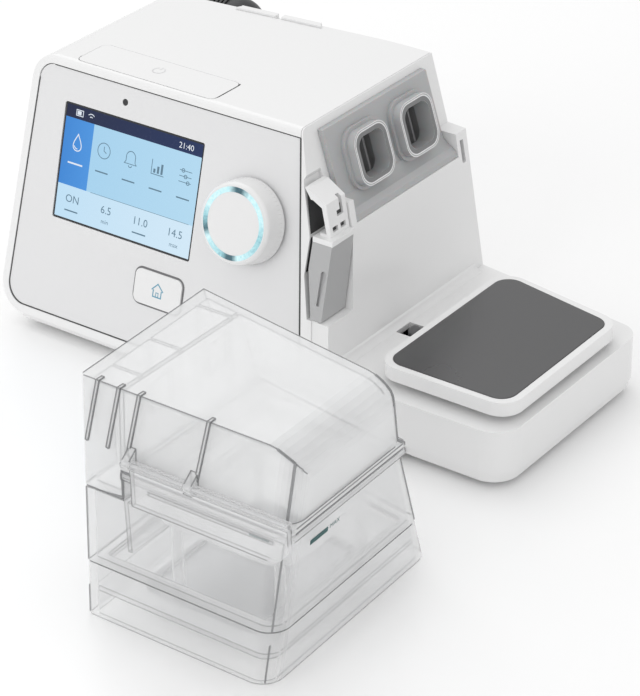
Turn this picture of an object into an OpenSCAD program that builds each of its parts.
// Two level breathing aid for the bedside: a main unit with screen and
// knob, a heated plate on its right, and a clear water chamber in front.
// X runs right, Y back, Z up, with the origin on the desk.

/* [Main unit] */
// Height of the main unit above the desk
unit_h = 116; // [110:1:124]
// Width over the main unit and the heater base
unit_w = 256.5; // [252:0.5:264]
// Height of the case's underside above the desk
case_gap = 2; // [1.5:0.5:3]
// Height of the seam between the upper case and the lower tray
seam_h = 7; // [6:0.5:9]
// Wall thickness of the casings
wall = 2.5; // [2:0.1:3]
// Gap along every visible parting line
part_gap = 0.3; // [0.2:0.05:0.5]
// Lean of the front fascia from upright, in degrees
front_tilt = 15.7; // [13:0.1:18]
// Lean of the left side from upright, in degrees
left_tilt = 2.3; // [1:0.1:4]
// Lean of the docking wall and of the front seam, in degrees
wall_tilt = 10; // [8:0.5:12]
// Lean of the port face from upright, in degrees
port_tilt = 16.7; // [15:0.1:18]
// Distance of the front seam from the left foot, at the top
seam_x_top = 142.3; // [140:0.1:146]
// Width of the front strip right of the seam, at its foot
wall_step = 14; // [13:0.5:15]
// Depth of the main unit at its left end
depth_left = 112; // [108:1:118]
// Depth of the main unit where the back bulges most
depth_apex = 124; // [120:1:128]
// Distance of that bulge from the left side
apex_x = 138; // [130:1:144]
// Depth of the heater base at its right end
depth_right = 107; // [104:1:112]
// Width of the white rim round the fascia
rim_w = 3.7; // [3:0.1:5]
// Thickness of the fascia plate
fascia_t = 3; // [2.6:0.1:3.4]

/* [Screen and controls] */
// Width of the visible screen
screen_w = 73.4; // [68:0.1:76]
// Height of the visible screen
screen_h = 49.6; // [44:0.1:52]
// Distance of the screen's left edge from the left side
screen_x = 23.2; // [21:0.1:25]
// Height of the screen's lower edge, along the fascia from the seam
screen_s = 46; // [44:0.5:50]
// Radius of the knob at its foot
knob_r = 17.6; // [16:0.1:19]
// Height of the knob above the fascia
knob_h = 11; // [8:0.5:13]
// Distance of the knob's axis from the left side
knob_x = 124.5; // [122:0.5:126]
// Height of the knob's axis along the fascia
knob_s = 71; // [66:0.5:76]
// Radius of the knob's shaft
knob_shaft_r = 3; // [2.5:0.1:4]
// Width of the home button
home_w = 24.4; // [20:0.1:27]
// Height of the home button
home_h = 14.6; // [12:0.1:15]
// Distance of the home button's middle from the left side
home_x = 83.5; // [80:0.5:88]
// Height of the home button's middle along the fascia
home_s = 29.6; // [27:0.1:32]
// Length of the start bar on the top
start_l = 72; // [64:1:76]
// Width of the start bar
start_w = 19; // [16:0.5:21]
// Distance of the start bar from the left side
start_x = 24.5; // [22:0.5:28]
// Running clearance round buttons
button_gap = 0.35; // [0.25:0.05:0.5]
// Push travel of the buttons and of the knob
push_travel = 0.8; // [0.5:0.1:1]

/* [Port face and latch] */
// Height of the shelf under the ports
shelf_h = 77; // [74:0.5:80]
// Where the port recess starts, from the front
recess_y0 = 40; // [38:0.5:42]
// Where the port recess ends
recess_y1 = 113; // [111:0.5:115]
// Width of each air port's mouth
port_w = 17; // [14:0.5:19]
// Height of each air port's mouth
port_h = 17.5; // [14:0.5:19]
// Distance between the middles of the two ports
port_pitch = 32; // [29:0.5:34]
// How far the silicone collars stand out of the port face
collar_out = 8; // [6:0.5:9]
// Wall of the silicone collars
collar_wall = 3; // [2.5:0.1:3.5]
// Thickness of the silicone behind the collars
gasket_t = 2.6; // [2:0.1:3]
// Height of the latch tab's foot
tab_z0 = 45; // [43:0.5:48]
// Height of the latch tab's top
tab_z1 = 75; // [72:0.5:76]
// Height of the latch hook's roof
hook_z = 96; // [92:0.5:98]
// Swing of the latch lever, in degrees
latch_swing = 3; // [2:0.5:4]

/* [Heater] */
// Height of the ledge under the heater
ledge_h = 26.5; // [25:0.5:28]
// Front face of the heater base, from the front of the unit
base_y0 = 5; // [4:0.5:7]
// Thickness of the floating heater frame
frame_t = 6; // [5:0.5:7]
// Rest height of the heater frame above the ledge
frame_lift = 3; // [2.6:0.1:4]
// Downward travel of the sprung heater
heater_travel = 2; // [1:0.1:2.2]
// Width of the heater frame
frame_w = 62.5; // [60:0.5:64]
// Length of the heater frame along its left side
frame_l = 93; // [88:0.5:94]
// Width of the white rim of the heater frame
frame_rim = 3.2; // [3:0.1:5]
// Angle of the rear edges of heater and chamber, in degrees
rear_slant = 9.5; // [7:0.5:11]
// Wire thickness of the heater springs
spring_wire = 0.8; // [0.6:0.1:1]

/* [Water chamber] */
// Width of the chamber at its foot, along its front
tank_w = 81.5; // [79:0.5:84]
// Length of the chamber along its left side, at the foot
tank_l = 114; // [110:0.5:118]
// Height of the chamber with its lid
tank_h = 98; // [94:1:102]
// Height of the parting line between tank and lid
lid_z = 66; // [62:0.5:70]
// Wall thickness of the clear plastic
clear_wall = 2; // [1.8:0.1:2.4]
// Height of the tank's floor above its foot
floor_z = 9.8; // [9:0.1:11]
// Width of the air duct module under the lid
duct_w = 16; // [14:0.5:18]
// Distance of the chamber's left side from the unit's left side
tank_x = 175; // [170:1:180]
// Distance of the chamber's front from the front of the unit
tank_y = 145; // [140:1:155]

/* [Air path] */
// Outer radius of the hose spigot
spigot_r = 11; // [10.8:0.05:11.2]
// Inner radius of the hose spigot
spigot_bore_r = 9; // [8.5:0.1:9.4]
// Length of the hose spigot
spigot_l = 20; // [16:0.5:24]
// Radius of the blower's impeller
impeller_r = 24; // [22:0.5:26]
// Number of blades on the impeller
blade_n = 12; // [9:1:15]

/* [Hidden] */
$fn = 48;

c_white = [0.93, 0.94, 0.95];
c_fascia = [0.86, 0.87, 0.88];
c_clear = [0.8, 0.86, 0.9, 0.45];
c_silicone = [0.62, 0.64, 0.66];
c_dark = [0.16, 0.17, 0.18];
c_steel = [0.7, 0.71, 0.73];
c_board = [0.1, 0.36, 0.22];

fn_wide = 96;
eps = 0.05;
// Radial clearance of turning, sliding, pressed and glued fits
run_gap = 0.05;
fit_gap = 0.02;

// Front plane: y at height z, and the point where its own axes start
panel_z = seam_h;
panel_y = 1.2;
function front_y(z) = panel_y + (z - panel_z) * tan(front_tilt);
function seam_x(z) = seam_x_top + (unit_h - z) * tan(wall_tilt);
function wall_x(z) = seam_x(z) + wall_step;
function left_x(z) = (z - seam_h) * tan(left_tilt);
function port_face_x(z) = seam_x_top + 0.6 + (unit_h - z) * tan(port_tilt);
function panel_s(z) = (z - panel_z) / cos(front_tilt);

module at_home() {
    translate([-mid_x, -mid_y, 0]) children();
}

// Local axes on the fascia: X right, Y up the slope, Z out of the panel
module on_panel(x, s, out = 0) {
    translate([x, panel_y, panel_z])
        rotate([90 - front_tilt, 0, 0])
            translate([0, s, out]) children();
}

// Convex polygon with a round corner of its own radius at each point
function unit(v) = v / norm(v);
function half_angle(p, a, b) = acos(unit(a - p) * unit(b - p)) / 2;
function tangent_point(p, a, b, r) = p + unit(a - p) * r / tan(half_angle(p, a, b));
function corner_centre(p, a, b, r) =
    p + unit(unit(a - p) + unit(b - p)) * r / sin(half_angle(p, a, b));
module rounded_poly(pts, radii) {
    n = len(pts);
    polygon([for (i = [0 : n - 1])
        let (p = pts[i], a = pts[(i + n - 1) % n], b = pts[(i + 1) % n], r = radii[i])
        each (r > 0 ? [tangent_point(p, a, b, r), tangent_point(p, b, a, r)] : [p])]);
    for (i = [0 : n - 1])
        if (radii[i] > 0)
            translate(corner_centre(pts[i], pts[(i + n - 1) % n], pts[(i + 1) % n], radii[i]))
                circle(r = radii[i], $fn = fn_wide);
}

// The same with its round corners cut into straight steps
module stepped_poly(pts, radii, steps = 7) {
    n = len(pts);
    polygon([for (i = [0 : n - 1])
        let (p = pts[i], a = pts[(i + n - 1) % n], b = pts[(i + 1) % n], r = radii[i])
        each (r > 0 ? corner_arc(p, a, b, r, steps) : [p])]);
}
function corner_arc(p, a, b, r, steps) =
    let (c = corner_centre(p, a, b, r),
        from = tangent_point(p, a, b, r) - c,
        to = tangent_point(p, b, a, r) - c,
        start = atan2(from[1], from[0]),
        turn = (atan2(to[1], to[0]) - start + 540) % 360 - 180)
    [for (k = [0 : steps]) c + r * [cos(start + turn * k / steps), sin(start + turn * k / steps)]];

module rounded_rect(w, h, r) {
    rounded_poly([[-w / 2, -h / 2], [w / 2, -h / 2], [w / 2, h / 2], [-w / 2, h / 2]],
        [r, r, r, r]);
}

// Extrudes an outline of X and Z along Y, from y0 to y1
module along_y(y0, y1) {
    translate([0, y1, 0]) rotate([90, 0, 0]) linear_extrude(y1 - y0) children();
}

// Extrudes an outline of Y and Z along X, from x0 to x1
module along_x(x0, x1) {
    translate([x0, 0, 0]) rotate([90, 0, 90]) linear_extrude(x1 - x0) children();
}

// Outlines of the main unit: front, side and plan, each moved in by inset
rim_r_low = 13;
rim_r_top = 11;
module unit_front(inset = 0, right = 0) {
    rounded_poly([
        [left_x(seam_h) + inset, seam_h + inset],
        [seam_x(seam_h) - part_gap / 2 + right, seam_h + inset],
        [seam_x(unit_h) - part_gap / 2 + right, unit_h - inset],
        [left_x(unit_h) + inset, unit_h - inset]],
        [rim_r_low - inset, 0, 0, rim_r_top - inset]);
}
edge_r = 3;
module unit_side(inset = 0, drop = 0) {
    slope_in = inset / cos(front_tilt);
    rounded_poly([
        [front_y(case_gap - drop) + slope_in, case_gap - drop],
        [depth_apex + 20, case_gap - drop],
        [depth_apex + 20, unit_h - (inset > 0 ? wall : 0)],
        [front_y(unit_h) + slope_in, unit_h - (inset > 0 ? wall : 0)]],
        [0, 0, 0, edge_r]);
}
apex_r = 220;
function rear_left(x) = depth_apex - (depth_apex - depth_left) / apex_x * (apex_x - x);
function rear_line(x) = depth_apex
    - (depth_apex - depth_right) / (unit_w - apex_x) * (x - apex_x);
module unit_plan(inset = 0, left = 0, right = unit_w, corner = 8) {
    p = [apex_x, depth_apex - inset];
    far_l = [left + inset, rear_left(left) - inset];
    far_r = [right - inset, rear_line(right) - inset];
    arc_l = tangent_point(p, far_l, far_r, apex_r);
    arc_r = tangent_point(p, far_r, far_l, apex_r);
    rounded_poly([[left + inset, -20], [right - inset, -20], far_r, arc_r, arc_l, far_l],
        [0, 0, corner, 0, 0, corner]);
    intersection() {
        translate(corner_centre(p, far_l, far_r, apex_r)) circle(r = apex_r, $fn = 200);
        translate([arc_l[0], arc_l[1] - 10]) square([arc_r[0] - arc_l[0], 30]);
    }
}

// Fascia outline in its own axes, moved in by inset from the rim's opening
s_top = panel_s(unit_h);
module fascia_outline(inset = 0) {
    low = rim_w + inset;
    high = s_top - rim_w - inset;
    stepped_poly([
        [left_x(seam_h) + rim_w + inset, low],
        [seam_x(seam_h) - 2 * part_gap - inset, low],
        [seam_x(unit_h) - part_gap - inset + 0.6, high],
        [left_x(unit_h) + rim_w + inset, high]],
        [rim_r_low - rim_w, 0, 0, rim_r_top - rim_w], 20);
}

// Cut through the fascia rim, deep mm into the panel, open on the seam side
module fascia_pocket(deep, inset, side) {
    on_panel(0, 0, -deep)
        linear_extrude(deep + 20)
            union() {
                fascia_outline(inset);
                translate([seam_x(unit_h) - 30, rim_w + inset])
                    square([30 + side, s_top - 2 * rim_w - 2 * inset]);
            }
}

seat_depth = fascia_t + 2.4;
start_y = front_y(unit_h) + 2;
module main_shell() {
    color(c_white) at_home()
    difference() {
        intersection() {
            along_y(-5, depth_apex + 5) unit_front();
            along_x(-5, seam_x(0) + 5) unit_side();
            linear_extrude(unit_h + 5) unit_plan();
        }
        difference() {
            intersection() {
                along_y(0, depth_apex + 5)
                    union() {
                        unit_front(wall, 10);
                        translate([left_x(seam_h) + rim_r_low, 0])
                            square([seam_x(0) - rim_r_low, seam_h + rim_r_low]);
                    }
                along_x(-5, seam_x(0) + 25) unit_side(seat_depth, 10);
                linear_extrude(unit_h + 5) unit_plan(wall, 0, unit_w, 6);
                translate([-5, 0, -5]) cube([300, 200, unit_h + 5 - wall]);
            }
            filter_pad();
        }
        fascia_pocket(fascia_t + 0.4, 0 - part_gap, 20);
        fascia_pocket(seat_depth + 1, 2.4, 20);
        start_bar_well();
        translate([elbow_x, depth_apex + 10, elbow_z])
            rotate([90, 0, 0]) cylinder(r = collar_r + fit_gap, h = 40, $fn = fn_wide);
        translate([inlet_x, depth_apex + 10, inlet_z])
            rotate([90, 0, 0]) cylinder(r = inlet_r + fit_gap, h = 40);
        filter_recess();
        card_slot();
    }
}

bar_flange = 1.2;
module start_bar_well() {
    translate([start_x + start_l / 2, start_y + start_w / 2, unit_h - wall - 6]) {
        linear_extrude(wall + 9)
            rounded_rect(start_l + 2 * button_gap, start_w + 2 * button_gap,
                3 + button_gap);
        linear_extrude(6)
            rounded_rect(start_l + 2 * bar_flange + 1, start_w + 2 * bar_flange + 1, 4);
    }
}

card_w = 24;
card_t = 2.1;
card_y = 62;
card_z = 34;
module card_slot() {
    translate([-6, card_y - card_w / 2 - 0.4, card_z - card_t / 2 - 0.4])
        cube([20, card_w + 0.8, card_t + 0.8]);
}

module fascia() {
    color(c_fascia) at_home()
    difference() {
        on_panel(0, 0, -fascia_t - 0.4) linear_extrude(fascia_t) fascia_outline();
        on_panel(screen_x + screen_w / 2, screen_s + screen_h / 2, -fascia_t - 1)
            linear_extrude(fascia_t + 2) rounded_rect(screen_w + 0.6, screen_h + 0.6, 1);
        on_panel(knob_x, knob_s, -fascia_t - 1)
            cylinder(r = knob_shaft_r + run_gap, h = fascia_t + 2);
        on_panel(home_x, home_s, -fascia_t - 1)
            linear_extrude(fascia_t + 2)
                rounded_rect(home_w + 2 * button_gap, home_h + 2 * button_gap, 3.3);
        on_panel(sensor_x, sensor_s, -fascia_t - 1) cylinder(r = 1.45, h = fascia_t + 2);
    }
}

sensor_x = 54;
sensor_s = s_top - 10.63;
module light_sensor() {
    color(c_dark) at_home()
    on_panel(sensor_x, sensor_s, -fascia_t - 2.4) {
        cylinder(r = 1.35, h = fascia_t + 1.9);
        cylinder(r = 2.6, h = 1.8);
    }
}

module screen_lens() {
    color([0.1, 0.2, 0.32]) at_home()
    on_panel(screen_x + screen_w / 2, screen_s + screen_h / 2, -fascia_t - 0.4)
        linear_extrude(fascia_t - 0.4) rounded_rect(screen_w + 0.2, screen_h + 0.2, 0.8);
}

module display_module() {
    color(c_steel) at_home()
    on_panel(screen_x + screen_w / 2, screen_s + screen_h / 2, -fascia_t - 5)
        linear_extrude(4.5) rounded_rect(screen_w + 5, screen_h + 6, 1);
}

// Knob: a cap with a gripping skirt, a light ring in its face and a shaft
knob_gap = 0.6;
knob_out = knob_gap + push_travel - 0.4;
ring_r = 15;
ring_w = 2.2;
grip_n = 60;
module knob() {
    color(c_white) at_home()
    on_panel(knob_x, knob_s, knob_out)
    difference() {
        rotate_extrude($fn = fn_wide)
            difference() {
                union() {
                    square([knob_r - 2, knob_h - 0.4]);
                    polygon([[0, 0], [knob_r, 0], [knob_r, 0.8], [knob_r - 0.7, knob_h - 2],
                        [0, knob_h - 2]]);
                    translate([knob_r - 2.7, knob_h - 2.4]) circle(r = 2);
                }
                translate([0, -eps]) square([knob_shaft_r + run_gap, knob_h - 3.8]);
                translate([ring_r - ring_w, knob_h - 2]) square([ring_w, 4]);
                translate([knob_shaft_r + 3, -eps]) square([knob_r - knob_shaft_r - 5.4, 5]);
            }
        for (i = [0 : grip_n - 1])
            rotate([0, 0, i * 360 / grip_n])
                translate([knob_r + 0.45, 0, 1.5]) cylinder(r = 0.7, h = knob_h - 5, $fn = 4);
    }
}

module knob_ring() {
    color([0.5, 0.85, 0.95]) at_home()
    on_panel(knob_x, knob_s, knob_out + knob_h - 2)
        rotate_extrude($fn = fn_wide)
            translate([ring_r - ring_w, 0]) square([ring_w, 1.7]);
}

shaft_back = 14;
module knob_shaft() {
    color(c_steel) at_home()
    on_panel(knob_x, knob_s, -shaft_back)
        cylinder(r = knob_shaft_r, h = shaft_back + knob_out + knob_h - 4.2);
}

module knob_encoder() {
    color(c_dark) at_home()
    on_panel(knob_x, knob_s, -fascia_t - 0.4)
    difference() {
        union() {
            translate([0, 0, -7]) linear_extrude(7) rounded_rect(13, 13, 1);
            translate([0, 0, -9]) linear_extrude(2) rounded_rect(16, 14, 1);
        }
        translate([0, 0, -10]) cylinder(r = knob_shaft_r + run_gap, h = 11);
    }
}

module home_button() {
    color(c_white) at_home()
    on_panel(home_x, home_s, 0) {
        translate([0, 0, -fascia_t - 0.2]) linear_extrude(fascia_t + 0.5)
            rounded_rect(home_w, home_h, 3);
        translate([0, 0, -fascia_t - 2.4]) linear_extrude(1.2)
            rounded_rect(home_w + 2, home_h + 2, 3.4);
        translate([0, 0, -fascia_t - 2.2]) cylinder(r = 4, h = 2.2);
    }
}

bar_travel = 1;
// The bar's flange stays behind the top edge of the fascia
flange_in = 0.7;
module start_bar() {
    color(c_white) at_home()
    translate([start_x + start_l / 2, start_y + start_w / 2, unit_h]) {
        translate([0, 0, -wall - 0.5]) linear_extrude(wall + 0.6)
            rounded_rect(start_l, start_w, 3);
        translate([0, (bar_flange + flange_in) / 2, -wall - 2]) linear_extrude(1.6)
            rounded_rect(start_l + 2 * bar_flange, start_w + bar_flange - flange_in, 3.6);
        for (side = [-1, 1])
            translate([side * start_l / 3, 0, -wall - 6]) cylinder(r = 1.6, h = 4.2);
    }
}

// Right tower with the docking wall, and the heater base
module dock_section(inset = 0) {
    polygon([
        [seam_x(seam_h) + (inset > 0 ? -6 : part_gap / 2), seam_h - inset],
        [wall_x(seam_h) - inset, seam_h - inset],
        [wall_x(post_h) - inset, post_h - inset],
        [port_face_x(post_h) - inset, post_h - inset],
        [port_face_x(unit_h) - inset, unit_h - inset * 0.4],
        [seam_x(unit_h) + (inset > 0 ? -6 : part_gap / 2), unit_h - inset * 0.4]]);
}
post_h = 87;
module port_recess_section(grow = 0) {
    polygon([
        [port_face_x(shelf_h) - grow, shelf_h - grow],
        [wall_x(shelf_h) + 6, shelf_h - grow],
        [wall_x(shelf_h) + 6, unit_h + 8],
        [port_face_x(unit_h + 8) - grow, unit_h + 8]]);
}

base_x0 = 166;
module base_plan(inset = 0) {
    rounded_poly([
        [base_x0, base_y0 + inset],
        [unit_w - inset, base_y0 + inset],
        [unit_w - inset, rear_line(unit_w) - inset],
        [base_x0, rear_line(base_x0) - inset]],
        [0, 12 - inset, 10 - inset, 0]);
}

ledge_fillet = 3;
module dock_case() {
    color(c_white) at_home()
    difference() {
        union() {
            intersection() {
                along_y(-5, depth_apex + 5) dock_section();
                along_x(base_x0 - 40, unit_w) unit_side();
                linear_extrude(unit_h + 5) unit_plan();
            }
            translate([0, 0, seam_h]) linear_extrude(ledge_h - seam_h) base_plan();
            ledge_blend();
        }
        // Hollow of the tower
        difference() {
            intersection() {
                along_y(0, depth_apex + 5) dock_section(wall);
                along_x(base_x0 - 40, unit_w) unit_side(wall + 0.8, 10);
                linear_extrude(unit_h + 5) unit_plan(wall);
            }
            along_y(recess_y0 - wall, recess_y1 + wall) port_recess_section(wall);
            latch_housing();
        }
        // Hollow of the heater base
        translate([0, 0, seam_h - 1]) linear_extrude(ledge_h - seam_h + 1 - wall)
            intersection() {
                base_plan(wall);
                translate([wall_x(ledge_h) - 6, -5]) square([120, 200]);
            }
        along_y(recess_y0, recess_y1) port_recess_section();
        port_throats(port_w + 2 * collar_wall - 2, port_h + 2 * collar_wall - 2, -6, 4);
        latch_pocket();
        heater_windows();
        sensor_window();
        latch_pin_hole();
        rear_post_slot();
        strip_groove();
    }
}

// Sloping blend between the docking wall and the ledge
module ledge_blend() {
    intersection() {
        along_y(base_y0 + 12, rear_line(wall_x(ledge_h)) - 6)
            difference() {
                polygon([
                    [wall_x(ledge_h) - wall, ledge_h - 1],
                    [wall_x(ledge_h) + ledge_fillet, ledge_h - 1],
                    [wall_x(ledge_h) + ledge_fillet, ledge_h],
                    [wall_x(ledge_h + ledge_fillet), ledge_h + ledge_fillet],
                    [wall_x(ledge_h + ledge_fillet) - wall, ledge_h + ledge_fillet]]);
                translate([wall_x(ledge_h) + ledge_fillet + 0.8, ledge_h + ledge_fillet + 0.9])
                    circle(r = ledge_fillet + 0.9, $fn = fn_wide);
            }
        translate([0, 0, seam_h]) linear_extrude(80) base_plan();
    }
}

// Places a child on the port face: X along Y of the unit, Y up the face, Z out
port_y_mid = (recess_y0 + recess_y1) / 2 + 1;
port_z_mid = unit_h - 20.5;
module on_port_face(y = port_y_mid) {
    translate([port_face_x(port_z_mid), y, port_z_mid])
        rotate([0, -port_tilt, 0]) rotate([90, 0, 90]) children();
}
module port_throats(w, h, back, front) {
    for (side = [-1, 1])
        on_port_face(port_y_mid + side * port_pitch / 2)
            translate([0, 0, back]) linear_extrude(front - back) rounded_rect(w, h, 4.5);
}

// Silicone sheet over the port face, with a sill and two collars
module port_gasket() {
    color(c_silicone) at_home()
    difference() {
        union() {
            intersection() {
                along_y(recess_y0 + 0.3, recess_y1 - 0.3)
                    difference() {
                        polygon([
                            [port_face_x(shelf_h + 0.2) + 0.2, shelf_h + 0.2],
                            [wall_x(shelf_h) - 0.6, shelf_h + 0.2],
                            [wall_x(shelf_h) - 1.2, shelf_h + 2.4],
                            [port_face_x(shelf_h + 8) + gasket_t, shelf_h + 9],
                            [port_face_x(unit_h - 3) + gasket_t, unit_h - 3],
                            [port_face_x(unit_h - 3) + 0.2, unit_h - 3]]);
                        translate([wall_x(shelf_h) - 1, shelf_h + 11.6])
                            circle(r = 7.6, $fn = fn_wide);
                    }
                linear_extrude(unit_h + 5) unit_plan();
            }
            for (side = [-1, 1])
                on_port_face(port_y_mid + side * port_pitch / 2) {
                    translate([0, 0, 1]) linear_extrude(collar_out - 1)
                        rounded_rect(port_w + 2 * collar_wall, port_h + 2 * collar_wall,
                            3.2 + collar_wall);
                    translate([0, 0, 1]) linear_extrude(3.4)
                        rounded_rect(port_w + 2 * collar_wall + 3, port_h + 2 * collar_wall + 3,
                            4.6 + collar_wall);
                }
        }
        port_throats(port_w, port_h, -8, collar_out + 1);
    }
}

// Two square ducts behind the port face, each with a non return flap's stop rib
duct_back = 14;
module air_ducts() {
    color(c_fascia) at_home()
    for (side = [-1, 1])
        on_port_face(port_y_mid + side * port_pitch / 2)
            translate([0, 0, -duct_back])
            difference() {
                linear_extrude(duct_back - 0.1)
                    rounded_rect(port_w + 2 * collar_wall - 2.6, port_h + 2 * collar_wall - 2.6,
                        4.2);
                translate([0, 0, 1.6]) linear_extrude(duct_back)
                    difference() {
                        rounded_rect(port_w + 0.4, port_h + 0.4, 3.2);
                        translate([port_w / 2 - 4.6, -port_h]) square([1.1, 2 * port_h]);
                    }
            }
}

// Latch lever: hook head in a pocket of the docking wall, grip below it
latch_y0 = front_y(tab_z1 + 2);
latch_y1 = 36;
latch_x0 = seam_x(tab_z1) + 6.6;
latch_gap = 0.5;
pivot_z = 70;
pivot_x = latch_x0 + 2.4;
lug_y0 = latch_y0 + 9;
latch_back = (pivot_z - tab_z0) * tan(latch_swing) + latch_gap;
module latch_pocket() {
    intersection() {
        along_y(-5, latch_y1 + latch_gap)
            polygon([
                [seam_x(tab_z0) + 5.2 - latch_back, tab_z0 - latch_gap],
                [wall_x(tab_z0) + 6, tab_z0 - latch_gap],
                [wall_x(hook_z) + 12, hook_z + 3],
                [port_face_x(hook_z + 3), hook_z + 3],
                [port_face_x(hook_z + 1) - 1.6, hook_z + 1],
                [latch_x0 - 2.2, tab_z1 + 1],
                [latch_x0 - 2.2, tab_z1 - 14]]);
        along_x(100, 200)
            polygon([[-5, tab_z0 - latch_gap], [latch_y1 - 8 + latch_gap, tab_z0 - latch_gap],
                [latch_y1 + latch_gap, tab_z1], [latch_y1 + latch_gap, 115], [-5, 115]]);
    }
}
module latch_housing() {
    intersection() {
        along_y(-5, latch_y1 + latch_gap + wall)
            polygon([
                [seam_x(tab_z0) + 5.2 - latch_back - wall, tab_z0 - latch_gap - wall],
                [wall_x(tab_z0) + 6, tab_z0 - latch_gap - wall],
                [wall_x(hook_z) + 12, hook_z + 3 + wall],
                [port_face_x(hook_z + 3), hook_z + 3 + wall],
                [latch_x0 - 2.2 - wall, tab_z1 + 1],
                [latch_x0 - 2.2 - wall, tab_z1 - 14]]);
        along_y(-5, depth_apex) dock_section();
    }
}

module latch_lever() {
    color(c_white) at_home()
    difference() {
        union() {
            // Plate between grip and hook
            intersection() {
                along_y(latch_y0 - 3.6, latch_y1)
                    polygon([[latch_x0 - 0.6, tab_z1], [wall_x(tab_z1) + 1.6, tab_z1],
                        [wall_x(tab_z1) + 1.4, tab_z1 + 2], [latch_x0 - 0.9, tab_z1 + 2]]);
                along_x(100, 200) unit_side();
            }
            // Hook head
            along_y(latch_y0 + 2.6, latch_y1)
                polygon([
                    [latch_x0 + 1, tab_z1 + 1],
                    [wall_x(tab_z1) - 1, tab_z1 + 1],
                    [wall_x(hook_z - 5) - 0.6, hook_z - 5],
                    [port_face_x(hook_z) + 3.2, hook_z],
                    [port_face_x(hook_z) + 1, hook_z],
                    [latch_x0 + 1, tab_z1 + 9]]);
            // Pivot lugs
            along_y(lug_y0, latch_y1 - 2)
                translate([pivot_x, pivot_z]) circle(r = 2.6);
            along_y(lug_y0, latch_y1 - 2)
                polygon([[pivot_x - 1.4, pivot_z], [pivot_x + 1.8, pivot_z],
                    [pivot_x + 1.8, tab_z1 + 0.5], [pivot_x - 1.4, tab_z1 + 0.5]]);
        }
        // Hollow open to the front, behind the outer face
        along_y(-5, latch_y1 - 2)
            polygon([
                [latch_x0 + 0.4, tab_z1 + 3],
                [wall_x(tab_z1) - 3.4, tab_z1 + 3],
                [wall_x(hook_z - 8) - 3.2, hook_z - 7],
                [port_face_x(hook_z - 4) + 3.6, hook_z - 4.6],
                [port_face_x(hook_z - 4) + 1, hook_z - 4.6],
                [latch_x0 + 0.4, tab_z1 + 9]]);
        // L slot and the two small windows in the outer face
        translate([latch_x0, latch_y0 + 8.4, tab_z1 + 9]) cube([20, 4.2, 2.4]);
        translate([latch_x0, latch_y0 + 10.6, tab_z1 + 9]) cube([20, 2, 8]);
        translate([latch_x0, latch_y0 + 4.4, tab_z1 + 3.6]) cube([20, 3.4, 2.2]);
        translate([latch_x0, latch_y0 + 9.6, tab_z1 + 3.6]) cube([20, 3.4, 2.2]);
        translate([pivot_x, latch_y1 + 5, pivot_z]) rotate([90, 0, 0])
            cylinder(r = pin_r + run_gap, h = 40, $fn = 24);
        along_y(lug_y0 + 3.2, latch_y1 - 4.2)
            translate([pivot_x - 4, pivot_z - 4]) square([8, 7.2]);
    }
}

pin_r = 1;
module latch_pin() {
    color(c_steel) at_home()
    translate([pivot_x, latch_y1 + 2.6, pivot_z]) rotate([90, 0, 0])
        cylinder(r = pin_r, h = latch_y1 + 2.6 - lug_y0, $fn = 24);
}
module latch_pin_hole() {
    translate([pivot_x, latch_y1 + 2.7, pivot_z]) rotate([90, 0, 0])
        cylinder(r = pin_r + fit_gap, h = 8, $fn = 24);
}

// Grey grip: a wedge that narrows downward, with a long dimple in its face
module latch_grip() {
    color(c_silicone) at_home()
    difference() {
        intersection() {
            along_y(-5, latch_y1 - 1)
                polygon([
                    [seam_x(tab_z0) + 5.2, tab_z0],
                    [seam_x(tab_z0) + 10.4, tab_z0],
                    [wall_x(tab_z1) + 1.4, tab_z1 - 0.1],
                    [latch_x0 - 0.6, tab_z1 - 0.1],
                    [latch_x0 - 0.6, pivot_z - 6]]);
            along_x(100, 200) unit_side();
            along_x(100, 200)
                polygon([[0, tab_z0 - 1], [latch_y1 - 8, tab_z0 - 1], [latch_y1 - 1, tab_z1],
                    [0, tab_z1]]);
        }
        // Room for the pivot lugs
        along_y(lug_y0 - 0.1, latch_y1)
            translate([latch_x0 - 5, pivot_z - 3.2]) square([10.2, 10]);
        on_panel(seam_x(60) + 10.6, panel_s(59.5), -1.2)
            linear_extrude(4) rounded_poly([[-1.1, -9], [0.2, -9], [1.7, 5.5], [-1.1, 5.5]],
                [0.5, 0.5, 1, 1]);
    }
}

module rear_post_slot() {
    translate([wall_x(post_h) - 5, recess_y1 + 2.2, post_h - 13.5]) cube([20, 2.4, 10]);
}

module strip_groove() {
    on_panel(0, 0, -0.6)
        linear_extrude(3)
            polygon([
                [seam_x(ledge_h) + 5.4, panel_s(ledge_h + 1)],
                [seam_x(ledge_h) + 8.6, panel_s(ledge_h + 1)],
                [seam_x(tab_z0) + 8.6, panel_s(tab_z0)],
                [seam_x(tab_z0) + 5.4, panel_s(tab_z0)]]);
}

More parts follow.
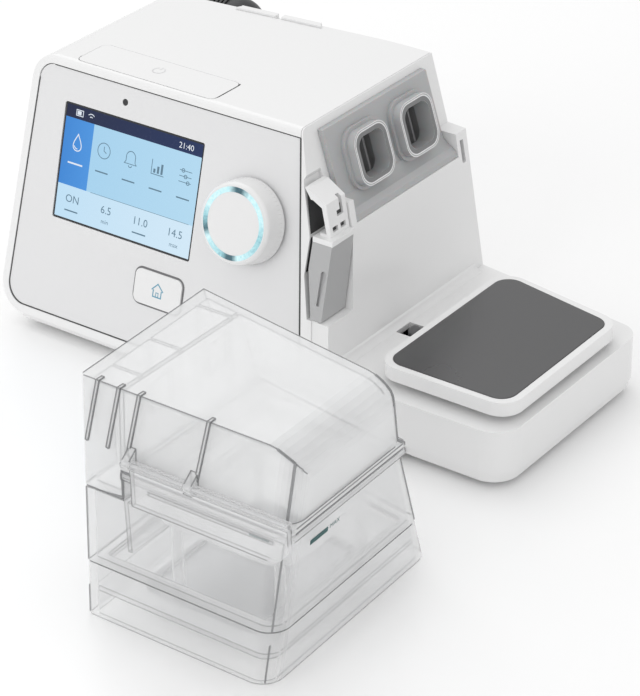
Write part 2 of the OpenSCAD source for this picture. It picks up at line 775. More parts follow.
// Heater frame and plate, floating on four springs
frame_x1 = unit_w - 3;
frame_x0 = frame_x1 - frame_w;
frame_y0 = base_y0 + 7.5;
frame_z = ledge_h + frame_lift;
module frame_plan(inset = 0) {
    rounded_poly([
        [frame_x0 + inset, frame_y0 + inset],
        [frame_x1 - inset, frame_y0 + inset],
        [frame_x1 - inset, frame_y0 + frame_l - frame_w * tan(rear_slant) - inset],
        [frame_x0 + inset, frame_y0 + frame_l - inset]],
        [9.5 - inset * 0.8, 9.5 - inset * 0.8, 9.5 - inset * 0.8, 9.5 - inset * 0.8]);
}
stem_r = 3.4;
stem_gap = 0.08;
spring_xy = [
    [frame_x0 + 11, frame_y0 + 19], [frame_x1 - 11, frame_y0 + 19],
    [frame_x1 - 11, frame_y0 + frame_l - 31], [frame_x0 + 11, frame_y0 + frame_l - 22]];
stem_drop = 13;
module heater_frame() {
    color(c_white) at_home()
    difference() {
        union() {
            translate([0, 0, frame_z]) linear_extrude(frame_t) frame_plan();
            for (p = spring_xy)
                translate([p[0], p[1], frame_z - stem_drop]) cylinder(r = stem_r, h = stem_drop);
        }
        translate([0, 0, frame_z + frame_t - 2.2]) linear_extrude(3)
            frame_plan(frame_rim - 0.2);
    }
}

module heater_plate() {
    color(c_dark) at_home()
    translate([0, 0, frame_z + frame_t - 2.2]) linear_extrude(2.4) frame_plan(frame_rim);
}

// Round guides in the ledge, one for each stem of the heater frame
module heater_windows() {
    for (p = spring_xy)
        translate([p[0], p[1], ledge_h - wall - 1])
            cylinder(r = stem_r + stem_gap, h = wall + 10);
}

// Bowed leaf springs under the four stems, standing on the tray
tray_top = case_gap + wall;
spring_top = frame_z - stem_drop;
spring_r = spring_top - tray_top;
spring_foot = 4;
module heater_springs() {
    color(c_steel) at_home()
    for (p = spring_xy)
        translate([0, p[1], tray_top])
            along_x(p[0] - 3, p[0] + 3) {
                intersection() {
                    difference() {
                        circle(r = spring_r, $fn = fn_wide);
                        circle(r = spring_r - spring_wire, $fn = fn_wide);
                    }
                    translate([-spring_r, 0]) square([2 * spring_r, 2 * spring_r]);
                }
                for (side = [-1, 1])
                    translate([side * (spring_r - spring_wire / 2 + spring_foot / 2)
                        - spring_foot / 2, 0])
                        square([spring_foot, spring_wire]);
            }
}

// Round plunger in the ledge that feels the chamber
window_x = wall_x(ledge_h) + 7.4;
window_y = 55;
plunger_x = window_x + 1.4;
plunger_r = 2.8;
plunger_travel = 2.5;
module sensor_window() {
    translate([window_x - 4.5, window_y - 5, ledge_h - wall - 1]) cube([9, 10, wall + 5]);
}
module chamber_sensor() {
    color([0.42, 0.43, 0.44]) at_home()
    translate([plunger_x, window_y, 0]) {
        translate([0, 0, tray_top + 9]) cylinder(r = plunger_r, h = ledge_h - tray_top - 9.4);
        translate([0, 0, ledge_h - wall - 4]) cylinder(r = plunger_r + 1.6, h = 1.2);
        translate([0, 0, ledge_h - 0.4]) sphere(r = plunger_r, $fn = 32);
    }
}
// Housing of the plunger, standing on the tray
module sensor_guide() {
    color(c_dark) at_home()
    translate([plunger_x, window_y, tray_top])
    difference() {
        union() {
            translate([-6.5, -6.5, 0]) cube([13, 13, 3]);
            cylinder(r = plunger_r + 1.8, h = 12);
        }
        translate([0, 0, 3]) cylinder(r = plunger_r + run_gap, h = 20);
    }
}

// Lower tray under the whole footprint, with a rib wall and screw bosses
tray_in = 1;
module tray_plan(inset = 0) {
    union() {
        intersection() {
            unit_plan(inset, 11, 210, 6);
            translate([0, front_y(seam_h) + 3 + inset]) square([210, 200]);
        }
        rounded_poly([
            [base_x0, base_y0 + tray_in + inset],
            [unit_w - tray_in - inset, base_y0 + tray_in + inset],
            [unit_w - tray_in - inset, rear_line(unit_w) - tray_in - inset],
            [base_x0, rear_line(base_x0) - tray_in - inset]],
            [0, 11, 9, 0]);
    }
}
screw_xy = [[22, 18], [22, 96], [146, 18], [146, 108], [224, 20], [224, 88]];
module lower_tray() {
    color(c_white) at_home()
    difference() {
        union() {
            translate([0, 0, case_gap]) linear_extrude(wall) tray_plan(1.5);
            translate([0, 0, case_gap + 1.5]) linear_extrude(seam_h - case_gap - 1.5 - part_gap)
                difference() {
                    tray_plan();
                    tray_plan(wall);
                }
            for (p = screw_xy)
                translate([p[0], p[1], case_gap]) cylinder(r = 4.2, h = 10);
        }
        for (p = screw_xy) {
            translate([p[0], p[1], 0]) cylinder(r = 1.7, h = 20, $fn = 24);
            translate([p[0], p[1], 0]) cylinder(r = 3.2, h = case_gap + 3, $fn = 24);
        }
        for (p = foot_xy)
            translate([p[0], p[1], case_gap - 1]) cylinder(r = foot_r + 0.1, h = 2);
        for (i = [0 : 7])
            translate([70 + i * 5, 45, 0]) cube([2.4, 30, 10]);
    }
}

foot_r = 6;
foot_xy = [[34, 18], [34, 96], [170, 20], [170, 104], [240, 34], [240, 78]];
module feet() {
    color(c_dark) at_home()
    for (p = foot_xy)
        translate([p[0], p[1], 0])
            rotate_extrude() polygon([[0, 0], [foot_r - 0.8, 0], [foot_r, 0.8],
                [foot_r, case_gap + 1], [0, case_gap + 1]]);
}

module case_screws() {
    color(c_steel) at_home()
    for (p = screw_xy)
        translate([p[0], p[1], case_gap + 0.6])
            difference() {
                union() {
                    cylinder(r = 2.9, h = 2.3, $fn = 24);
                    cylinder(r = 1.5, h = 9, $fn = 24);
                }
                for (a = [0, 90])
                    rotate([0, 0, a]) translate([-2, -0.4, -1]) cube([4, 0.8, 2]);
            }
}

// Blower: spiral volute, wheel with curved blades, motor and three mounts
blower_x = 70;
blower_y = 78;
blower_z = 28;
volute_h = 24;
volute_r = impeller_r + 6;
exit_x = 118;
module blower_volute() {
    color([0.3, 0.31, 0.32]) at_home()
    translate([blower_x, blower_y, blower_z])
    difference() {
        union() {
            volute_outline();
            volute_exit();
        }
        translate([0, 0, 2]) cylinder(r = impeller_r + 3, h = volute_h - 4, $fn = fn_wide);
        translate([0, 0, volute_h - 3]) cylinder(r = 13, h = 6);
        translate([0, 0, -1]) cylinder(r = 6, h = 6);
        translate([impeller_r * 0.55, 6, 5]) cube([volute_r + 30, 14, volute_h - 10]);
    }
}
module volute_outline() {
    for (i = [0 : 3])
        translate([[0, 0], [2, 1.5], [3.5, -0.5], [2, -2.5]][i])
            cylinder(r = volute_r - i * 0.8, h = volute_h, $fn = fn_wide);
}
module volute_exit() {
    translate([0, 3.5, 2.5]) cube([exit_x - blower_x, 19, volute_h - 5]);
}

wheel_z = blower_z + 5;
wheel_h = 12;
module impeller() {
    color([0.85, 0.86, 0.88]) at_home()
    translate([blower_x, blower_y, wheel_z])
    difference() {
        union() {
            cylinder(r = impeller_r, h = 1.4, $fn = fn_wide);
            cylinder(r1 = 9, r2 = 4.5, h = wheel_h - 1);
            for (i = [0 : blade_n - 1])
                rotate([0, 0, i * 360 / blade_n]) blade();
        }
        translate([0, 0, -1]) cylinder(r = 1.5, h = wheel_h + 2, $fn = 24);
    }
}
blade_bend_r = 19;
module blade() {
    intersection() {
        translate([blade_bend_r * 0.62, -blade_bend_r * 0.78, 0.6])
            linear_extrude(wheel_h - 1.6)
                difference() {
                    circle(r = blade_bend_r);
                    circle(r = blade_bend_r - 1);
                }
        rotate_extrude()
            polygon([[6, 0.6], [impeller_r - 0.3, 0.6], [impeller_r - 0.3, wheel_h - 5],
                [12, wheel_h], [6, wheel_h]]);
        translate([0, -blade_bend_r, 0]) cube([impeller_r, blade_bend_r * 2, wheel_h]);
    }
}

module blower_motor() {
    color(c_steel) at_home()
    translate([blower_x, blower_y, 0]) {
        translate([0, 0, blower_z - 12.3]) cylinder(r = 14, h = 12, $fn = fn_wide);
        translate([0, 0, blower_z - 0.8]) cylinder(r = 4, h = 4.8);
        translate([0, 0, blower_z]) cylinder(r = 1.46, h = wheel_z - blower_z + wheel_h - 1.5,
            $fn = 24);
    }
}

mount_angles = [30, 150, 270];
module blower_mounts() {
    color(c_silicone) at_home()
    for (a = mount_angles)
        translate([blower_x + (volute_r - 7) * cos(a), blower_y + (volute_r - 7) * sin(a),
            tray_top])
            rotate_extrude()
                difference() {
                    square([5, blower_z - tray_top - 0.1]);
                    translate([6.2, (blower_z - tray_top) / 2]) circle(r = 2.6);
                }
}

board_out = 13;
board_s0 = 25;
board_s1 = s_top - 16.2;
module main_board() {
    color(c_board) at_home()
    on_panel(screen_x + 46, (board_s0 + board_s1) / 2, -board_out - 1.6) {
        board_h = board_s1 - board_s0;
        difference() {
            linear_extrude(1.6) rounded_rect(118, board_h, 2);
            for (x = [-54, 54], y = [4 - board_h / 2, board_h / 2 - 4])
                translate([x, y, -1]) cylinder(r = 1.6, h = 4, $fn = 24);
            translate([knob_x - screen_x - 46, knob_s - (board_s0 + board_s1) / 2, -1])
                cylinder(r = knob_shaft_r + 1, h = 4);
        }
        translate([-20, 6, -2.4]) linear_extrude(2.5) square([14, 14]);
        translate([14, -16, -1.6]) linear_extrude(1.7) square([9, 12]);
        translate([-48, -26, -5]) linear_extrude(5.1) square([12, 8]);
        translate([-30, -28, -4]) linear_extrude(4.1) square([16, 6]);
    }
}

module power_board() {
    color(c_board) at_home()
    translate([104, 59.4, tray_top]) {
        translate([0, 0, 4]) cube([42, 44, 1.6]);
        translate([6, 8, 5.5]) cylinder(r = 5, h = 14);
        translate([18, 8, 5.5]) cylinder(r = 5, h = 14);
        translate([26, 20, 5.5]) cube([12, 14, 12]);
        translate([6, 22, 5.5]) cube([14, 3, 10]);
        for (x = [4, 38], y = [4, 40])
            translate([x, y, 0]) cylinder(r = 2, h = 4.1, $fn = 24);
    }
}

// Round socket for the power lead, flush with the back
inlet_r = 6;
inlet_x = 118;
inlet_z = 24;
module power_inlet() {
    color(c_dark) at_home()
    translate([inlet_x, rear_left(inlet_x) + 0.2, inlet_z]) rotate([90, 0, 0])
    difference() {
        union() {
            cylinder(r = inlet_r, h = 13);
            translate([0, 0, wall + 1.6]) linear_extrude(9) rounded_rect(14.4, 14.4, 1);
        }
        translate([0, 0, -1]) cylinder(r = 2.9, h = 11);
    }
    color(c_steel) at_home()
    translate([inlet_x, rear_left(inlet_x) - 1, inlet_z]) rotate([90, 0, 0])
        cylinder(r = 1.1, h = 9, $fn = 24);
}

// Air outlet: a fixed collar in the back and an elbow that swivels in it
elbow_x = 32;
elbow_z = unit_h - 18;
collar_r = 14;
stub_r = 11.5;
collar_back = 16;
module outlet_collar() {
    // The collar's flange reaches to the filter's frame and to the roof
    collar_side = filter_x - filter_w / 2 - 5 - part_gap - elbow_x;
    collar_up = unit_h - wall - part_gap - elbow_z;
    color(c_dark) at_home()
    translate([elbow_x, rear_left(elbow_x) + 1.6, elbow_z]) rotate([90, 0, 0])
    difference() {
        union() {
            cylinder(r = collar_r, h = collar_back, $fn = fn_wide);
            intersection() {
                translate([0, 0, wall + 3.6]) cylinder(r = collar_r + 1.6, h = 3, $fn = fn_wide);
                translate([-20, -20, 0]) cube([20 + collar_side, 20 + collar_up, 20]);
            }
        }
        translate([0, 0, -1]) cylinder(r = stub_r + run_gap, h = 14, $fn = fn_wide);
        translate([0, 0, 8]) cylinder(r = 8, h = 14, $fn = fn_wide);
    }
}

elbow_off = 18.5;
elbow_axis_y = rear_left(elbow_x) + elbow_off;
elbow_r = 12.6;
// Free length of the spigot that a hose cuff slides over
spigot_seat = 17;
elbow_rib_r = 12.9;
rib_n = 5;
module outlet_elbow() {
    color(c_dark) at_home()
    translate([elbow_x, elbow_axis_y, elbow_z])
    difference() {
        union() {
            rotate([90, 0, 0]) cylinder(r = stub_r, h = elbow_off + 10, $fn = fn_wide);
            sphere(r = elbow_r, $fn = fn_wide);
            rotate([0, -90, 0]) cylinder(r = spigot_r, h = 12 + spigot_l, $fn = fn_wide);
            rotate([0, -90, 0])
                cylinder(r = spigot_r + 0.6, h = 12 + spigot_l - spigot_seat, $fn = fn_wide);
            for (i = [0 : rib_n - 1])
                translate([-3 - i * 2.1, 0, 0]) rotate([0, -90, 0])
                    cylinder(r = elbow_rib_r - 0.1 * i, h = 1.1, $fn = fn_wide);
        }
        rotate([90, 0, 0]) cylinder(r = spigot_bore_r, h = 40, $fn = fn_wide);
        rotate([0, -90, 0]) cylinder(r = spigot_bore_r, h = 60, $fn = fn_wide);
        sphere(r = spigot_bore_r, $fn = fn_wide);
    }
}

// Places a child on the left part of the back: X along it, Y out of it
rear_turn = atan((depth_apex - depth_left) / apex_x);
module on_rear(x) {
    translate([x, rear_left(x), 0]) rotate([0, 0, rear_turn]) children();
}

// Filter cover: slides up in a dovetail, its lip stands over the top edge
filter_x = 68;
filter_w = 40;
filter_z0 = 66;
filter_top = 117;
cover_in = 2.4;
cover_gap = 0.35;
dovetail = 1.5;
pad_deep = 9;
filter_t = 4.6;
filter_travel = 42;
module cover_section(grow = 0, out = 0.6) {
    polygon([
        [-filter_w / 2 - grow, out],
        [-filter_w / 2 - grow, -0.4],
        [-filter_w / 2 - dovetail - grow, -cover_in - grow],
        [filter_w / 2 + dovetail + grow, -cover_in - grow],
        [filter_w / 2 + grow, -0.4],
        [filter_w / 2 + grow, out]]);
}
module filter_pad() {
    on_rear(filter_x)
        translate([-filter_w / 2 - 5, -pad_deep, filter_z0 - 5])
            cube([filter_w + 10, pad_deep, unit_h - filter_z0]);
}
module filter_recess() {
    on_rear(filter_x) {
        translate([0, 0, filter_z0 - cover_gap]) linear_extrude(70)
            cover_section(cover_gap, 10);
        translate([-filter_w / 2 + 1.8, -cover_in - filter_t - 0.6, filter_z0 + 2.8])
            cube([filter_w - 3.6, 20, unit_h - filter_z0 - 14.6]);
        translate([-filter_w / 2 + 5, -20, filter_z0 + 6])
            cube([filter_w - 10, 30, unit_h - filter_z0 - 21]);
    }
}
module filter_cover() {
    color(c_white) at_home()
    on_rear(filter_x)
    difference() {
        translate([0, 0, filter_z0]) linear_extrude(filter_top - filter_z0) cover_section();
        for (i = [0 : 5])
            translate([-filter_w / 2 + 5, -10, filter_z0 + 6 + i * 4.6])
                cube([filter_w - 10, 20, 2.2]);
        translate([-1.5, -10, filter_top - 2.2]) cube([3, 20, 5]);
        translate([-filter_w / 2 + 4, 0.1, filter_top - 8]) cube([filter_w - 8, 5, 2]);
    }
}
module air_filter() {
    color([0.82, 0.84, 0.86]) at_home()
    on_rear(filter_x)
        translate([-filter_w / 2 + 2, -cover_in - filter_t - 0.6, filter_z0 + 3])
            cube([filter_w - 4, filter_t, unit_h - filter_z0 - 15]);
}

// Memory card in its slot in the left side, and the reader that holds it
card_l = 32;
card_x = left_x(card_z) + 1.2;
module memory_card() {
    color(c_dark) at_home()
    translate([card_x, card_y - card_w / 2, card_z - card_t / 2])
        difference() {
            cube([card_l, card_w, card_t]);
            translate([card_l - 4, -1, -1]) rotate([0, 0, -45]) cube([8, 4, card_t + 2]);
        }
}
module card_reader() {
    color(c_steel) at_home()
    difference() {
        union() {
            translate([wall + 3, card_y - card_w / 2 - 1.5, card_z - 2.4])
                cube([card_x + card_l - wall - 1.8, card_w + 3, 4.8]);
            for (x = [17, 30], y = [-9, 9])
                translate([x, card_y + y, tray_top]) cylinder(r = 2.4, h = card_z - tray_top - 2);
        }
        translate([0, card_y - card_w / 2 - 0.4, card_z - card_t / 2 - 0.4])
            cube([card_x + card_l + 0.4, card_w + 0.8, card_t + 0.8]);
    }
}

// Switches behind the home button and under the start bar
switch_z = unit_h - wall - 6 - bar_travel - 0.3;
module button_switches() {
    color(c_dark) at_home() {
        on_panel(home_x, home_s, -board_out)
            linear_extrude(board_out - fascia_t - 2.4 - push_travel - 0.3)
                rounded_rect(6, 6, 0.6);
        for (side = [-1, 1])
            translate([start_x + start_l / 2 + side * start_l / 3 - 3,
                start_y + start_w / 2 - 3, switch_z - 3.4]) cube([6, 6, 3.4]);
    }
    color(c_board) at_home() {
        translate([start_x - 8, start_y + start_w / 2 - 4, switch_z - 4.8])
            cube([start_l + 16, 8, 1.5]);
        for (x = [start_x - 5, start_x + start_l + 5])
            translate([x, start_y + start_w / 2, switch_z - 4])
                cylinder(r = 2, h = unit_h - wall - switch_z + 4);
    }
}

// Air ducts inside the case, drawn as profiles of X and Z
function duct_end_x(z) = port_face_x(z) - duct_back / cos(port_tilt) - 0.1;
duct_t = 1.6;
return_z0 = unit_h - 31;
return_z1 = unit_h - 10;
return_h = 24;
pressure_z0 = unit_h - 34;
pressure_z1 = unit_h - 12;
pressure_y0 = blower_y + 3.5;
pressure_y1 = port_y_mid + port_pitch / 2 + 11;
module pressure_duct() {
    color(c_dark) at_home()
    difference() {
        along_y(pressure_y0, pressure_y1)
            polygon([[exit_x + 0.1, 31], [exit_x + 14, 31], [duct_end_x(pressure_z0), pressure_z0],
                [duct_end_x(pressure_z1), pressure_z1], [exit_x + 0.1, pressure_z1]]);
        along_y(pressure_y0 + duct_t, pressure_y1 - duct_t)
            polygon([[exit_x + duct_t, 31 + duct_t], [exit_x + 13 - duct_t, 31 + duct_t],
                [duct_end_x(pressure_z0) - duct_t, pressure_z0],
                [duct_end_x(pressure_z1) - duct_t, pressure_z1 - duct_t],
                [exit_x + duct_t, pressure_z1 - duct_t]]);
        translate([exit_x - 4, blower_y + 6, blower_z + 5]) cube([10, 14, volute_h - 10]);
        on_port_face(port_y_mid + port_pitch / 2)
            translate([0, 0, -duct_back - 5]) linear_extrude(10) rounded_rect(port_w, port_h - 2, 3);
    }
}
return_y0 = port_y_mid - port_pitch / 2 - 11;
return_y1 = port_y_mid - port_pitch / 2 + 11;
return_x0 = elbow_x - 13;
return_end = rear_left(elbow_x) + 1.6 - collar_back - 0.1;
module return_duct() {
    color(c_dark) at_home()
    difference() {
        union() {
            along_y(return_y0, return_y1)
                polygon([[return_x0, return_z0], [duct_end_x(return_z0), return_z0],
                    [duct_end_x(return_z1), return_z1], [return_x0, return_z1]]);
            translate([return_x0, return_y0, return_z0])
                cube([26, return_end - return_y0, return_h]);
        }
        along_y(return_y0 + duct_t, return_y1 - duct_t)
            polygon([[return_x0 + duct_t, return_z0 + duct_t],
                [duct_end_x(return_z0) - duct_t, return_z0 + duct_t],
                [duct_end_x(return_z1) - duct_t, return_z1 - duct_t],
                [return_x0 + duct_t, return_z1 - duct_t]]);
        translate([return_x0 + duct_t, return_y0 + duct_t, return_z0 + duct_t])
            cube([26 - 2 * duct_t, return_end - return_y0 - 2 * duct_t, return_h - 2 * duct_t]);
        on_port_face(port_y_mid - port_pitch / 2)
            translate([0, 0, -duct_back - 5]) linear_extrude(10) rounded_rect(port_w, port_h - 4, 3);
        translate([elbow_x, return_end + 5, elbow_z]) rotate([90, 0, 0]) cylinder(r = 8, h = 10);
    }
}

// Water chamber in its own axes: x from its left side, y from its front
module tank_home() {
    at_home() translate([tank_x, -tank_y, 0]) children();
}
tank_lean = 2.6;
tank_rear_lean = 23;
lid_rear_lean = 16.3;
side_flare = 7.6;
side_turn = 1.5;
left_turn = 2.5;
left_edge_r = 1.2;
flange_r = 3;
tank_r = 11.5;
corner_r = 8.5;
rear_r = 5;
corner_off = 5;
seam_rear_y = tank_l - lid_z * tan(tank_rear_lean);

// Solid between two heights, with every side moved in by inset
module tank_solid(z0, z1, inset = 0, lean = tank_rear_lean, top_r = 0, left = 0) {
    x_low = tank_w + z0 * tan(side_flare) - inset;
    x_high = tank_w + z1 * tan(side_flare) - inset;
    y_in = inset / cos(lean);
    front_r = inset < 0 ? flange_r : corner_r - inset;
    back_r = inset < 0 ? flange_r : rear_r - inset;
    nudge = 0.077 * front_r;
    nudge_back = 0.06 * back_r;
    intersection() {
        // Front view, with the flared right side
        rotate([0, 0, side_turn]) along_y(-20, 150)
            stepped_poly([[-15, z0], [x_low, z0], [x_high, z1], [-15, z1]],
                [0, 0, top_r, 0]);
        // Front and left sides
        rotate([-tank_lean, 0, 0]) translate([0, 0, -8]) linear_extrude(130)
            stepped_poly([[inset + left - 0.4, inset], [150, inset], [150, 150],
                [inset + left - 0.4 - 150 * tan(left_turn), 150]], [left_edge_r, 0, 0, 0]);
        // Leaning rear side
        translate([0, seam_rear_y, lid_z]) rotate([0, 0, -rear_slant])
            along_x(-60, 170)
                polygon([[-190, -lid_z - 1], [-y_in + (lid_z + 1) * tan(lean), -lid_z - 1],
                    [-y_in - 40 * tan(lean), 40], [-190, 40]]);
        // Round front right corner
        translate([tank_w - inset - nudge, inset + nudge, 0])
            rotate([-tank_lean, side_flare, 0]) translate([0, 0, -14]) linear_extrude(140)
                stepped_poly([[-150, -150 * tan(corner_off)], [0, 0],
                    [150 * tan(corner_off - side_turn), 150], [-150, 150]],
                    [0, front_r, 0, 0]);
        // Round rear right corner
        translate([rear_corner[0] - inset - nudge_back, rear_corner[1] - inset - nudge_back,
            lid_z])
            rotate([lean + 1.2, side_flare + 0.8, 0]) translate([0, 0, -90])
                linear_extrude(140)
                    stepped_poly([[0, 0], [-150, 150 * tan(rear_slant + corner_off)],
                        [-150, -150], [150 * tan(corner_off + side_turn), -150]],
                        [back_r, 0, 0, 0]);
    }
}
rear_corner = [tank_w + lid_z * tan(side_flare) - seam_rear_y * tan(side_turn) + 0.4,
    seam_rear_y - (tank_w + lid_z * tan(side_flare) - 2) * tan(rear_slant)];

flange_out = 1.2;
flange_h = 3;
tank_top = lid_z - part_gap;
duct_floor = lid_z - 12;
step_in = 0.3;
shelf_x = duct_w + 1 + 2 * part_gap;
hinge_off = 4.4;
knuckle_r = 2.6;
module tank_body() {
    color(c_clear) tank_home()
    difference() {
        union() {
            tank_solid(base_top, tank_top, 0, tank_rear_lean, 0, step_in);
            tank_solid(tank_top - flange_h, tank_top, -flange_out, tank_rear_lean, 0,
                step_in + flange_out);
            hinge_lugs([18, 58], 10, -1);
        }
        // Water space, less the corner that the lid's duct hangs in
        difference() {
            tank_solid(base_top + 1.5, tank_top + 1, clear_wall, tank_rear_lean, 0, step_in);
            translate([-15, -5, duct_floor - clear_wall - part_gap])
                cube([shelf_x + clear_wall + 15, 160, 60]);
            // Hanging wall below the duct
            translate([shelf_x, -5, base_top + 9]) rotate([0, -4, 0]) cube([1.6, 160, 40]);
        }
        translate([-15, -5, duct_floor - part_gap]) cube([shelf_x + 15, 160, 60]);
        tank_solid(base_top - 1, base_top + 2, base_lip, tank_rear_lean, 0, step_in);
        seal_ring(1.2);
        hinge_line(12, 90) cylinder(r = pin_r + fit_gap, h = 78, $fn = 24);
    }
}

// Foot of the chamber: skirt, floor with the plate's window, lip to the body
base_top = 22.5;
base_lip = 5;
module tank_base() {
    color(c_clear) tank_home()
    difference() {
        tank_solid(0, base_top - fit_gap, 0, tank_rear_lean, 0, step_in);
        tank_solid(-1, floor_z, clear_wall, tank_rear_lean, 0, step_in);
        tank_solid(floor_z + clear_wall, base_top - 1.5, clear_wall, tank_rear_lean, 0,
            step_in);
        tank_solid(base_top - 2.5, base_top + 1, base_lip, tank_rear_lean, 0, step_in);
        translate([0, 0, floor_z - 1]) linear_extrude(6) plate_plan(4);
    }
}

// Places a child on the hinge line, along Z from x0 on
module hinge_line(x0, x1) {
    translate([0, seam_rear_y, lid_z]) rotate([0, 0, -rear_slant])
        translate([x0, hinge_off, 0])
            rotate([0, 90, 0]) children();
}
// Hinge knuckles with their webs, below the line for the tank, above it for the lid
module hinge_lugs(starts, wide, side) {
    for (x = starts)
        translate([0, seam_rear_y, lid_z]) rotate([0, 0, -rear_slant])
            translate([0, hinge_off, 0])
                along_x(x, x + wide) {
                    circle(r = knuckle_r);
                    if (side < 0)
                        polygon([[knuckle_r, 0], [knuckle_r - 0.2, -1.4], [0.4, -8],
                            [-1.6, -8], [-4.4, -1.2], [-1.4, 0]]);
                    else
                        polygon([[knuckle_r, 0], [knuckle_r - 0.4, 2], [-5.4, 9],
                            [-7.4, 9], [-5.4, 1.2], [-1.4, 0]]);
                }
}

// Outline of the metal plate in the chamber's floor
module plate_plan(inset = 0) {
    rounded_poly([
        [13 + inset, 12 + inset],
        [tank_w - 12 - inset, 12 + inset],
        [tank_w - 13 - inset, tank_l - 37 - inset],
        [12 + inset, tank_l - 27 - inset]],
        [8, 8, 8, 8]);
}
module tank_plate() {
    color(c_steel) tank_home() {
        translate([0, 0, floor_z - 1.2]) linear_extrude(1.2) plate_plan();
        translate([0, 0, floor_z - 0.2]) linear_extrude(1) plate_plan(4 + fit_gap);
    }
}

// Silicone ring in the tank's rim, with a strip beside the duct
module seal_ring(deep) {
    intersection() {
        difference() {
            tank_solid(tank_top - deep, tank_top + 0.3, 0.2 - deep * 0.1);
            tank_solid(tank_top - deep - 1, tank_top + 1, 1.4);
        }
        translate([shelf_x + 0.4, -5, 0]) cube([130, 160, 120]);
    }
    intersection() {
        tank_solid(tank_top - deep, tank_top + 0.3, 0.3);
        translate([shelf_x + 0.4, -5, 0]) cube([1.2, 160, 120]);
    }
}
module tank_seal() {
    color(c_silicone) tank_home() seal_ring(1);
}

// Clear baffle that keeps water from splashing into the ducts, on four legs
baffle_z = 44;
baffle_w = tank_w - 21.5;
baffle_l = tank_l - 50;
baffle_x = tank_w - 29.5;
baffle_y = tank_l - 72;
module splash_baffle() {
    color(c_clear) tank_home() {
        difference() {
            translate([baffle_x, baffle_y, baffle_z])
                linear_extrude(1.6) rounded_rect(baffle_w, baffle_l, 10);
            translate([baffle_x + 8, baffle_y + 2, baffle_z - 1])
                linear_extrude(5) rounded_rect(baffle_w - 34, baffle_l - 28, 8);
        }
        for (x = [-1, 1], y = [-1, 1])
            translate([baffle_x - 1 + x * (baffle_w / 2 - 7),
                baffle_y + y * (baffle_l / 2 - 8), floor_z + clear_wall])
                cylinder(r1 = 2.6, r2 = 1.8, h = baffle_z - floor_z - clear_wall - fit_gap);
    }
}

// Dark bars that mark the highest level, one on the side and one on the front
mark_t = 0.3;
module level_marks() {
    color([0.03, 0.3, 0.27]) tank_home()
    intersection() {
        difference() {
            tank_solid(40, tank_top - 4, -mark_t);
            tank_solid(39, tank_top - 3, -0.02);
        }
        union() {
            translate([tank_w - 5, 16.4, 54.4]) cube([20, 10.3, 1.8]);
            translate([tank_w - 8.5, -5, 60.2]) cube([8.5, 10, 1.3]);
        }
    }
}

// Lid with the air duct hung from it: two mouths, ribs, an inner wall
duct_ribs = [18, 40, 69];
mouth_y = [27, 59];
mouth_z = 76;
spout_w = port_w - 1;
spout_h = port_h - 1;
spout_out = 8;
rib_x = [7.8, 17.3, 26.3, 56.6];
rib_drop = 26;
rib_turn = 13;
module chamber_lid() {
    color(c_clear) tank_home()
    difference() {
        union() {
            tank_solid(lid_z + part_gap, tank_h, 0, lid_rear_lean, tank_r);
            tank_solid(lid_z + part_gap, lid_z + part_gap + 2, -flange_out, lid_rear_lean,
                0, duct_w + 2);
            intersection() {
                tank_solid(duct_floor, lid_z + 2, 0, lid_rear_lean);
                translate([-15, -5, 0]) cube([duct_w + 16, 150, 120]);
            }
            for (y = mouth_y)
                translate([-spout_out - 2, y, mouth_z]) rotate([90, 0, 90])
                    linear_extrude(spout_out + 3) rounded_rect(spout_w, spout_h, 4);
            // Slanting ribs on the front, turned over the top edge
            for (x = rib_x)
                intersection() {
                    tank_solid(tank_h - rib_drop, tank_h + 0.4, -0.5, lid_rear_lean);
                    translate([x, -5, tank_h + 2]) rotate([0, rib_turn, 0])
                        translate([-0.6, 0, -rib_drop - 2]) cube([1.2, 12, rib_drop + 4]);
                }
            hinge_lugs([30], 26, 1);
            catch_lugs();
        }
        intersection() {
            tank_solid(lid_z - 1, tank_h - clear_wall, clear_wall, lid_rear_lean,
                tank_r - clear_wall);
            translate([duct_w + 1, -5, 0]) cube([130, 150, 120]);
        }
        difference() {
            intersection() {
                tank_solid(duct_floor + clear_wall, tank_h - clear_wall, clear_wall,
                    lid_rear_lean, 0, 1.2);
                translate([-15, -5, 0]) cube([duct_w + 14, 150, 120]);
            }
            for (y = duct_ribs)
                translate([-15, y - 0.7, 0]) cube([50, 1.4, 120]);
        }
        for (y = mouth_y) {
            translate([-spout_out - 3, y, mouth_z]) rotate([90, 0, 90])
                linear_extrude(spout_out + 9) rounded_rect(spout_w - 3, spout_h - 3, 2.5);
            translate([duct_w - 3, y - 6, tank_h - 18]) cube([8, 12, 12]);
        }
        hinge_line(12, 90) cylinder(r = pin_r + run_gap, h = 78, $fn = 24);
        catch_line(-10) cylinder(r = catch_pin_r + fit_gap, h = 120, $fn = 24);
    }
}

module lid_hinge_pin() {
    color(c_steel) tank_home()
    hinge_line(19, 67) cylinder(r = pin_r, h = 48, $fn = 24);
}

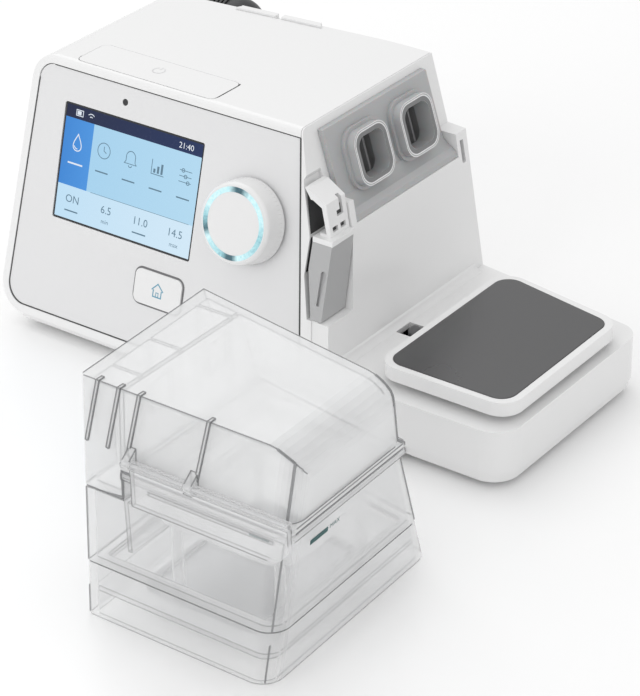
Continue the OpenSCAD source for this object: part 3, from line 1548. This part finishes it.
// Catch on the lid's front: its lip hooks under the tank's flange
catch_z = lid_z + 5.5;
catch_y = catch_z * tan(tank_lean) - 3;
catch_x0 = 24;
catch_x1 = 92;
catch_low = 55.2;
catch_pin_r = 0.8;
catch_r = 9;
module catch_line(x0) {
    translate([x0, catch_y, catch_z]) rotate([0, 90, 0]) children();
}
module catch_lugs() {
    for (x = [catch_x0 - 3.4, 48])
        along_x(x, x + 3)
            translate([catch_y, catch_z]) {
                circle(r = 1.8);
                polygon([[-1.2, 1.3], [0, -1.8], [4.6, -1.8], [4.6, 6]]);
            }
}
module lid_catch() {
    color(c_clear) tank_home()
    difference() {
        union() {
            for (x = [[catch_x0, 47.6], [51.4, catch_x1]])
                along_x(x[0], x[1])
                    translate([catch_y, catch_z]) circle(r = 1.8);
            along_x(catch_x0, catch_x1)
                polygon([[catch_y - 1.2, catch_z], [catch_y - 0.9, lid_z - 4],
                    [catch_y - 0.9, catch_low], [catch_y + 0.9, catch_low],
                    [catch_y + 0.9, catch_z]]);
            along_x(catch_x0 + 6, catch_x1 - 8)
                polygon([[0, tank_top - flange_h - 2.4], [catch_y + 2, tank_top - flange_h - 1.4],
                    [catch_y + 2, tank_top - flange_h - 0.4], [0, tank_top - flange_h - 0.4]]);
        }
        translate([47.6, -5, catch_z - 2.4]) cube([3.8, 10, 6]);
        catch_line(0) cylinder(r = catch_pin_r + run_gap, h = 120, $fn = 24);
        // Rounded lower right end
        translate([catch_x1 - catch_r, 5, catch_low + catch_r]) rotate([90, 0, 0])
            linear_extrude(10)
                difference() {
                    translate([0, -catch_r - 1]) square([catch_r + 1, catch_r + 1]);
                    circle(r = catch_r);
                }
    }
}
module catch_pin() {
    color(c_steel) tank_home()
    catch_line(catch_x0 - 3.2) cylinder(r = catch_pin_r, h = catch_x1 - catch_x0 + 2, $fn = 24);
}

// Middle of the set in X and Y, so that the origin lies under it
lid_reach = 11.19;
catch_reach = 1.55;
mid_x = (tank_x + tank_w + lid_reach) / 2;
mid_y = (elbow_axis_y + elbow_rib_r - tank_y - catch_reach) / 2;

main_shell();
fascia();
dock_case();
lower_tray();
feet();
case_screws();
screen_lens();
display_module();
light_sensor();
knob();
knob_ring();
knob_shaft();
knob_encoder();
home_button();
start_bar();
button_switches();
port_gasket();
air_ducts();
latch_lever();
latch_grip();
latch_pin();
heater_frame();
heater_plate();
heater_springs();
chamber_sensor();
sensor_guide();
blower_volute();
impeller();
blower_motor();
blower_mounts();
pressure_duct();
return_duct();
main_board();
power_board();
power_inlet();
outlet_collar();
outlet_elbow();
filter_cover();
air_filter();
memory_card();
card_reader();
tank_body();
tank_plate();
tank_seal();
splash_baffle();
level_marks();
chamber_lid();
lid_hinge_pin();
lid_catch();
catch_pin();
tank_base();
